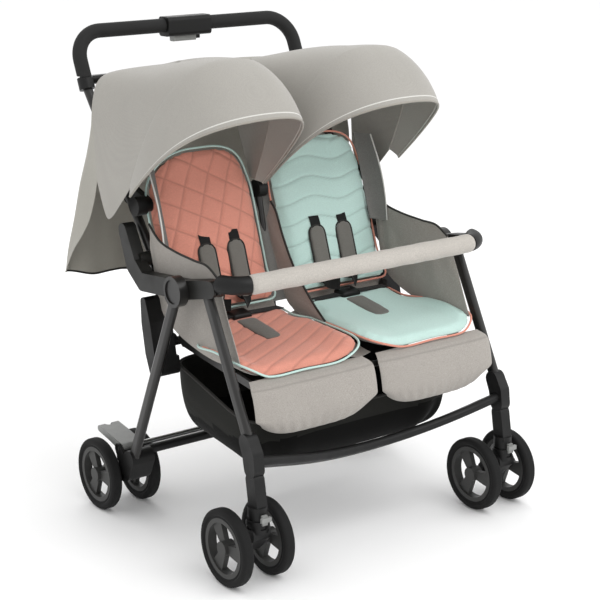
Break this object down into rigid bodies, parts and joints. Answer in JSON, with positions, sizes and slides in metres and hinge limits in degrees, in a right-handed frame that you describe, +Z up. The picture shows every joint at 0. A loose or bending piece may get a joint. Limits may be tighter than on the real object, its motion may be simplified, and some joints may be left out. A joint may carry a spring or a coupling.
{
  "type": "twin stroller",
  "caption": "Side-by-side folding twin stroller with canopies, reclining seats, bumper bar, swivel double wheels, brake pedal and basket.",
  "frame": {"origin": "on the floor, at the middle of the stroller's plan", "axes": "+Z up, -Y the way it travels, +X to the sitters' left"},
  "size_m": [0.759, 0.777, 1.019],
  "materials": {
    "frame_paint": "satin dark grey powder coat",
    "black_plastic": "fine-grained moulding",
    "steel": "zinc plated",
    "grey_plastic": "light grey moulding",
    "foam_grip": "matt foam",
    "tyre": "matt",
    "rim_plastic": "satin moulding",
    "basket_fabric": "plain weave with mesh",
    "grey_fabric": "fine melange weave",
    "canopy_fabric": "warm grey plain weave",
    "coral_fabric": "quilted soft weave",
    "mint_fabric": "quilted soft weave"
  },
  "bodies": {
    "rear_frame": {"rear_legs": "frame_paint", "rear_axle_beam": "black_plastic", "rear_axles": "steel", "basket": "basket_fabric"},
    "brake": {"brake_pedal": "grey_plastic", "brake_rod": "steel"},
    "armrests": {"armrests": "black_plastic", "frame_pins": "steel"},
    "bumper": {"bumper_bar": "black_plastic", "bumper_cover": "grey_fabric"},
    "front_frame": {"front_legs": "frame_paint", "footrest": "black_plastic", "caster_sockets": "black_plastic"},
    "caster_left": {"caster_left": "black_plastic"},
    "caster_right": {"caster_right": "black_plastic"},
    "swivel_lock_left": {"swivel_lock_left": "black_plastic"},
    "swivel_lock_right": {"swivel_lock_right": "black_plastic"},
    "push_frame": {"push_tube": "frame_paint", "handle_grip": "foam_grip", "handle_brace": "black_plastic", "lock_housings": "black_plastic", "canopy_mounts": "black_plastic", "trigger_housing": "black_plastic", "centre_post": "frame_paint", "rear_drape": "canopy_fabric"},
    "fold_trigger": {"fold_trigger": "grey_plastic"},
    "fold_button": {"fold_button": "grey_plastic"},
    "seat_base": {"seat_frame": "frame_paint", "seat_pads": "grey_fabric", "seat_liners": "coral_fabric", "crotch_pads": "grey_fabric", "seat_sides": "grey_fabric"},
    "back_left": {"back_left": "grey_fabric", "liner_left": "coral_fabric", "shoulder_pads_left": "grey_fabric"},
    "back_right": {"back_right": "grey_fabric", "liner_right": "mint_fabric", "shoulder_pads_right": "grey_fabric"},
    "calf_rest_left": {"calf_rest_left": "grey_fabric"},
    "calf_rest_right": {"calf_rest_right": "grey_fabric"},
    "canopy_left": {"canopy_left": "canopy_fabric"},
    "canopy_right": {"canopy_right": "canopy_fabric"},
    "visor_left": {"visor_left": "canopy_fabric"},
    "visor_right": {"visor_right": "canopy_fabric"},
    "wheel_front_left_outer": {"tyre_front_left_outer": "tyre", "rim_front_left_outer": "rim_plastic"},
    "wheel_front_left_inner": {"tyre_front_left_inner": "tyre", "rim_front_left_inner": "rim_plastic"},
    "wheel_front_right_inner": {"tyre_front_right_inner": "tyre", "rim_front_right_inner": "rim_plastic"},
    "wheel_front_right_outer": {"tyre_front_right_outer": "tyre", "rim_front_right_outer": "rim_plastic"},
    "wheel_rear_left_outer": {"tyre_rear_left_outer": "tyre", "rim_rear_left_outer": "rim_plastic"},
    "wheel_rear_left_inner": {"tyre_rear_left_inner": "tyre", "rim_rear_left_inner": "rim_plastic"},
    "wheel_rear_right_inner": {"tyre_rear_right_inner": "tyre", "rim_rear_right_inner": "rim_plastic"},
    "wheel_rear_right_outer": {"tyre_rear_right_outer": "tyre", "rim_rear_right_outer": "rim_plastic"}
  },
  "joints": [
    {"name": "fold", "type": "hinge", "parent": "rear_frame", "child": "armrests", "pos_m": [0, -0.1125, 0.541], "axis": [-1, 0, 0], "range_deg": [0, 30], "deforming": ["basket", "rear_drape", "seat_sides", "crotch_pads", "canopy_left", "canopy_right", "visor_left", "visor_right"]},
    {"name": "front_fold", "type": "hinge", "parent": "armrests", "child": "front_frame", "pos_m": [0, -0.1835, 0.557], "axis": [1, 0, 0], "range_deg": [0, 67]},
    {"name": "push_fold", "type": "hinge", "parent": "armrests", "child": "push_frame", "pos_m": [0, 0.0705, 0.565], "axis": [1, 0, 0], "range_deg": [0, 67]},
    {"name": "seat_fold", "type": "hinge", "parent": "push_frame", "child": "seat_base", "pos_m": [0, -0.0025, 0.436], "axis": [-1, 0, 0], "range_deg": [0, 67]},
    {"name": "recline_left", "type": "hinge", "parent": "push_frame", "child": "back_left", "pos_m": [0, -0.0025, 0.436], "axis": [1, 0, 0], "range_deg": [-30, 0]},
    {"name": "calf_rest_left", "type": "hinge", "parent": "seat_base", "child": "calf_rest_left", "pos_m": [0, -0.2865, 0.368], "axis": [1, 0, 0], "range_deg": [-50, 0]},
    {"name": "canopy_left", "type": "hinge", "parent": "push_frame", "child": "canopy_left", "pos_m": [0, 0.0895, 0.672], "axis": [-1, 0, 0], "range_deg": [0, 42], "deforming": ["canopy_left", "visor_left"]},
    {"name": "visor_left", "type": "hinge", "parent": "canopy_left", "child": "visor_left", "pos_m": [0, 0.0895, 0.672], "axis": [-1, 0, 0], "range_deg": [0, 14], "deforming": ["visor_left"]},
    {"name": "recline_right", "type": "hinge", "parent": "push_frame", "child": "back_right", "pos_m": [0, -0.0025, 0.436], "axis": [1, 0, 0], "range_deg": [-30, 0]},
    {"name": "calf_rest_right", "type": "hinge", "parent": "seat_base", "child": "calf_rest_right", "pos_m": [0, -0.2865, 0.368], "axis": [1, 0, 0], "range_deg": [-50, 0]},
    {"name": "canopy_right", "type": "hinge", "parent": "push_frame", "child": "canopy_right", "pos_m": [0, 0.0895, 0.672], "axis": [-1, 0, 0], "range_deg": [0, 42], "deforming": ["canopy_right", "visor_right"]},
    {"name": "visor_right", "type": "hinge", "parent": "canopy_right", "child": "visor_right", "pos_m": [0, 0.0895, 0.672], "axis": [-1, 0, 0], "range_deg": [0, 14], "deforming": ["visor_right"]},
    {"name": "bumper_pull", "type": "slide", "parent": "armrests", "child": "bumper", "axis": [0, 0.9839, -0.1789], "range_m": [-0.04, 0]},
    {"name": "brake", "type": "hinge", "parent": "rear_frame", "child": "brake", "pos_m": [0, 0.1275, 0.146], "axis": [-1, 0, 0], "range_deg": [0, 14]},
    {"name": "fold_trigger", "type": "slide", "parent": "push_frame", "child": "fold_trigger", "axis": [0, 0, 1], "range_m": [0, 0.005], "stiffness_N_per_m": 400},
    {"name": "fold_button", "type": "slide", "parent": "push_frame", "child": "fold_button", "axis": [0, 0, 1], "range_m": [0, 0.004], "stiffness_N_per_m": 200},
    {"name": "caster_left", "type": "hinge", "parent": "front_frame", "child": "caster_left", "pos_m": [-0.318, -0.3465, 0.129], "axis": [0, 0, 1], "continuous": true},
    {"name": "swivel_lock_left", "type": "slide", "parent": "front_frame", "child": "swivel_lock_left", "axis": [0, 0, -1], "range_m": [0, 0.006]},
    {"name": "caster_right", "type": "hinge", "parent": "front_frame", "child": "caster_right", "pos_m": [0.318, -0.3465, 0.129], "axis": [0, 0, 1], "continuous": true},
    {"name": "swivel_lock_right", "type": "slide", "parent": "front_frame", "child": "swivel_lock_right", "axis": [0, 0, -1], "range_m": [0, 0.006]},
    {"name": "wheel_front_left_outer", "type": "hinge", "parent": "caster_left", "child": "wheel_front_left_outer", "pos_m": [-0.366, -0.3105, 0.078], "axis": [1, 0, 0], "continuous": true},
    {"name": "wheel_front_left_inner", "type": "hinge", "parent": "caster_left", "child": "wheel_front_left_inner", "pos_m": [-0.27, -0.3105, 0.078], "axis": [1, 0, 0], "continuous": true},
    {"name": "wheel_front_right_inner", "type": "hinge", "parent": "caster_right", "child": "wheel_front_right_inner", "pos_m": [0.27, -0.3105, 0.078], "axis": [1, 0, 0], "continuous": true},
    {"name": "wheel_front_right_outer", "type": "hinge", "parent": "caster_right", "child": "wheel_front_right_outer", "pos_m": [0.366, -0.3105, 0.078], "axis": [1, 0, 0], "continuous": true},
    {"name": "wheel_rear_left_outer", "type": "hinge", "parent": "rear_frame", "child": "wheel_rear_left_outer", "pos_m": [-0.366, 0.1815, 0.078], "axis": [1, 0, 0], "continuous": true},
    {"name": "wheel_rear_left_inner", "type": "hinge", "parent": "rear_frame", "child": "wheel_rear_left_inner", "pos_m": [-0.27, 0.1815, 0.078], "axis": [1, 0, 0], "continuous": true},
    {"name": "wheel_rear_right_inner", "type": "hinge", "parent": "rear_frame", "child": "wheel_rear_right_inner", "pos_m": [0.27, 0.1815, 0.078], "axis": [1, 0, 0], "continuous": true},
    {"name": "wheel_rear_right_outer", "type": "hinge", "parent": "rear_frame", "child": "wheel_rear_right_outer", "pos_m": [0.366, 0.1815, 0.078], "axis": [1, 0, 0], "continuous": true}
  ],
  "couplings": [
    {"joint": "front_fold", "follows": "fold", "ratio": 2.2333},
    {"joint": "push_fold", "follows": "fold", "ratio": 2.2333},
    {"joint": "seat_fold", "follows": "fold", "ratio": 2.2333},
    {"joint": "visor_left", "follows": "canopy_left", "ratio": 0.33333},
    {"joint": "visor_right", "follows": "canopy_right", "ratio": 0.33333}
  ]
}
